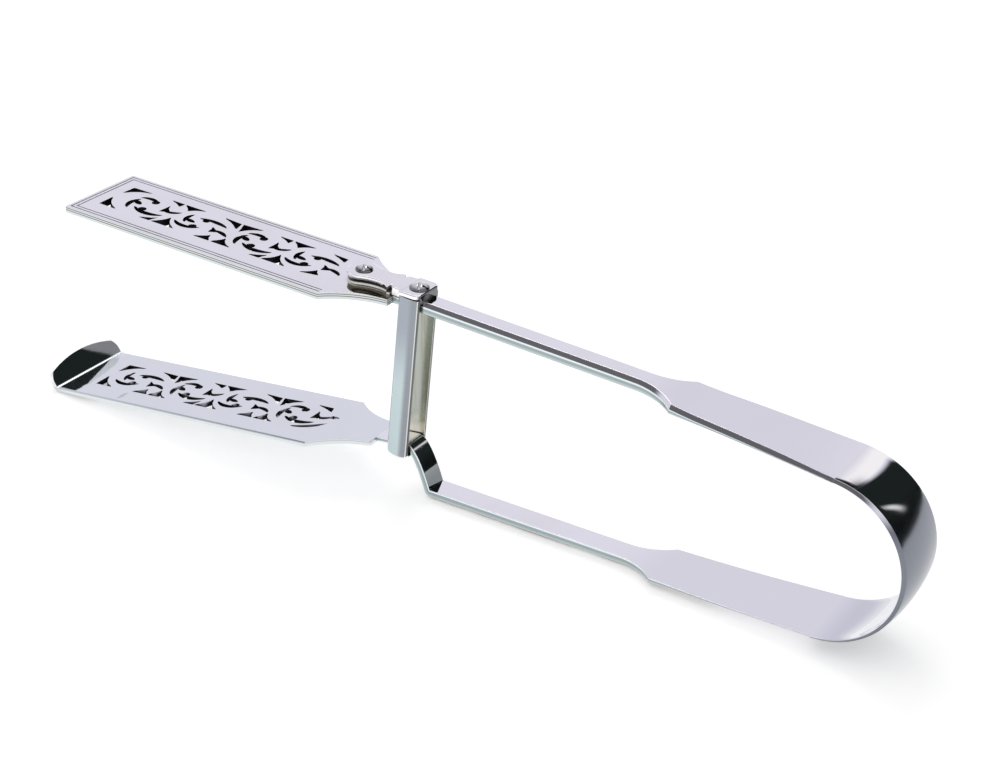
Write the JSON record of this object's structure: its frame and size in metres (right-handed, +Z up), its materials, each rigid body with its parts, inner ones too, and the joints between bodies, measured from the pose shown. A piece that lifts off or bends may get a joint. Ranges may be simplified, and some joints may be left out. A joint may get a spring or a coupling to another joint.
{
  "type": "asparagus tongs",
  "caption": "Bow-sprung serving tongs with long pierced blades, a lip across the lower blade's tip and a guide loop that keeps the arms in line.",
  "frame": {"origin": "on the resting plane, under the middle of the overall length and width", "axes": "+X from the blades towards the spring bow, +Y across the tongs, +Z up from the lower arm to the upper arm"},
  "size_m": [0.2558, 0.027, 0.0599],
  "materials": {
    "silver": "polished silver",
    "worn_silver": "polished silver, a little worn"
  },
  "bodies": {
    "lower": {"lower_arm": "silver", "lower_blade": "silver", "spring_bow": "silver"},
    "upper": {"upper_arm": "silver", "upper_blade": "silver", "bridge_plate": "worn_silver", "guide_loop": "worn_silver", "blade_screw": "worn_silver", "cap_screw": "worn_silver"}
  },
  "joints": [
    {"name": "squeeze", "type": "hinge", "parent": "lower", "child": "upper", "pos_m": [0.12037, 0, 0.02431], "axis": [0, -1, 0], "range_deg": [0, 13.1], "stiffness_Nm_per_rad": 2, "springref_deg": -4.58, "deforming": ["spring_bow"]}
  ]
}
